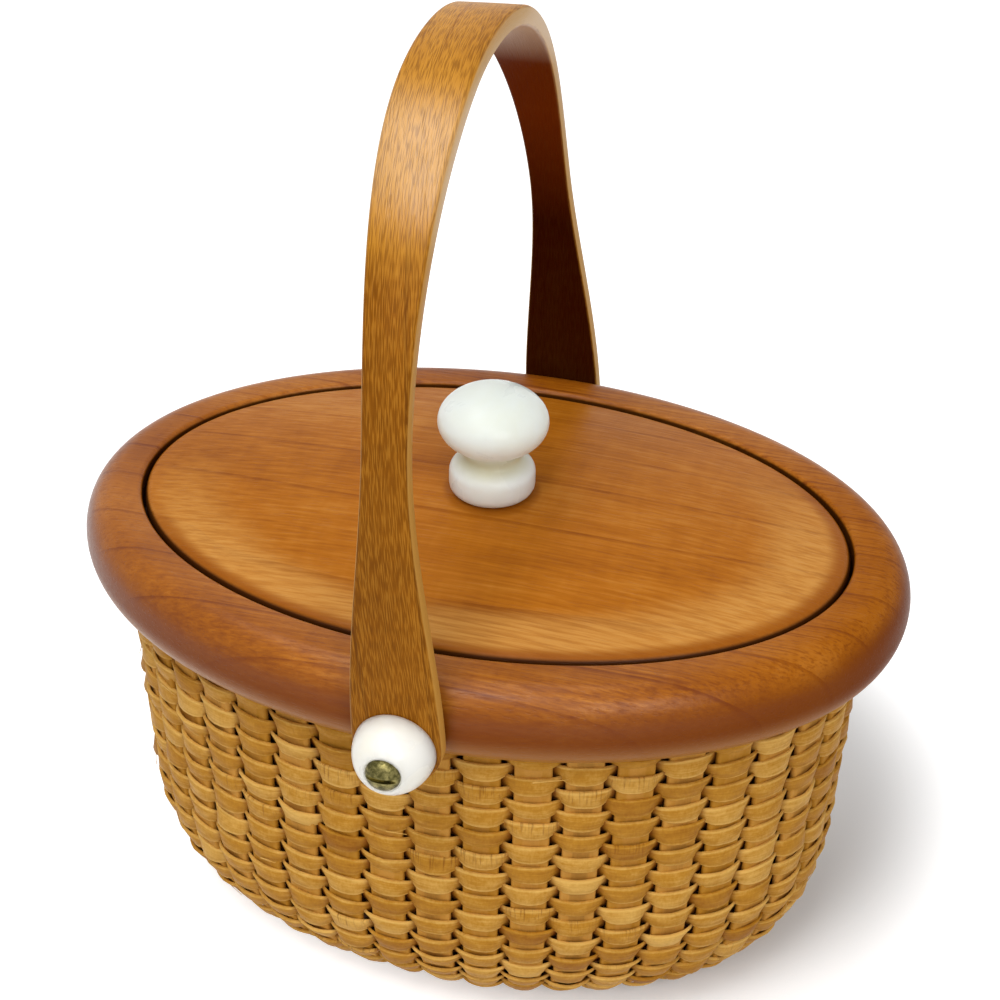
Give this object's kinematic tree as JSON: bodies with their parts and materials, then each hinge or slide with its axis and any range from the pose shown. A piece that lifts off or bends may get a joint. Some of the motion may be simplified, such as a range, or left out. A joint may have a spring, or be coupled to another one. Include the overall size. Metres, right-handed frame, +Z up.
{
  "type": "lidded swing-handle basket",
  "caption": "Oval woven cane basket with a wooden base, one-piece wooden rim, lift-off domed lid with a white knob, and a bent wooden handle that swings on capped screws.",
  "frame": {"origin": "on the ground, under the middle of the base", "axes": "+X along the oval, +Y across it along the handle's pivot line, +Z up; the front in the picture is -Y"},
  "size_m": [0.22, 0.1936, 0.2621],
  "materials": {
    "rim_wood": "oiled red-brown cherry, satin, figured grain",
    "lid_wood": "oiled orange-brown cherry, satin, straight grain",
    "handle_wood": "golden brown bent hardwood, satin, straight grain with flecks",
    "base_wood": "plain brown hardwood, satin",
    "cane_weave": "honey-coloured flat cane, low sheen",
    "cane_stave": "tan cane staves, low sheen",
    "knob_white": "cool off-white, glossy, slightly translucent",
    "cap_ivory": "warm ivory white, polished",
    "aged_brass": "aged, dull olive brass"
  },
  "bodies": {
    "basket": {"base": "base_wood", "stave_01": "cane_stave", "stave_02": "cane_stave", "stave_03": "cane_stave", "stave_04": "cane_stave", "stave_05": "cane_stave", "stave_06": "cane_stave", "stave_07": "cane_stave", "stave_08": "cane_stave", "stave_09": "cane_stave", "stave_10": "cane_stave", "stave_11": "cane_stave", "stave_12": "cane_stave", "stave_13": "cane_stave", "stave_14": "cane_stave", "stave_15": "cane_stave", "stave_16": "cane_stave", "stave_17": "cane_stave", "stave_18": "cane_stave", "stave_19": "cane_stave", "stave_20": "cane_stave", "stave_21": "cane_stave", "stave_22": "cane_stave", "stave_23": "cane_stave", "stave_24": "cane_stave", "stave_25": "cane_stave", "stave_26": "cane_stave", "stave_27": "cane_stave", "stave_28": "cane_stave", "stave_29": "cane_stave", "stave_30": "cane_stave", "stave_31": "cane_stave", "stave_32": "cane_stave", "stave_33": "cane_stave", "stave_34": "cane_stave", "stave_35": "cane_stave", "stave_36": "cane_stave", "stave_37": "cane_stave", "stave_38": "cane_stave", "stave_39": "cane_stave", "stave_40": "cane_stave", "stave_41": "cane_stave", "woven_wall": "cane_weave", "rim": "rim_wood", "cap_front": "cap_ivory", "cap_back": "cap_ivory", "pivot_screw_front": "aged_brass", "pivot_screw_back": "aged_brass"},
    "handle": {"handle": "handle_wood"},
    "lid": {"lid": "lid_wood", "knob": "knob_white", "knob_screw": "aged_brass"}
  },
  "joints": [
    {"name": "handle_swing", "type": "hinge", "parent": "basket", "child": "handle", "pos_m": [0, 0, 0.1167], "axis": [0, 1, 0], "range_deg": [-134, 141]},
    {"name": "lid_lift", "type": "slide", "parent": "basket", "child": "lid", "axis": [0, 0, 1], "range_m": [0, 0.06]}
  ]
}
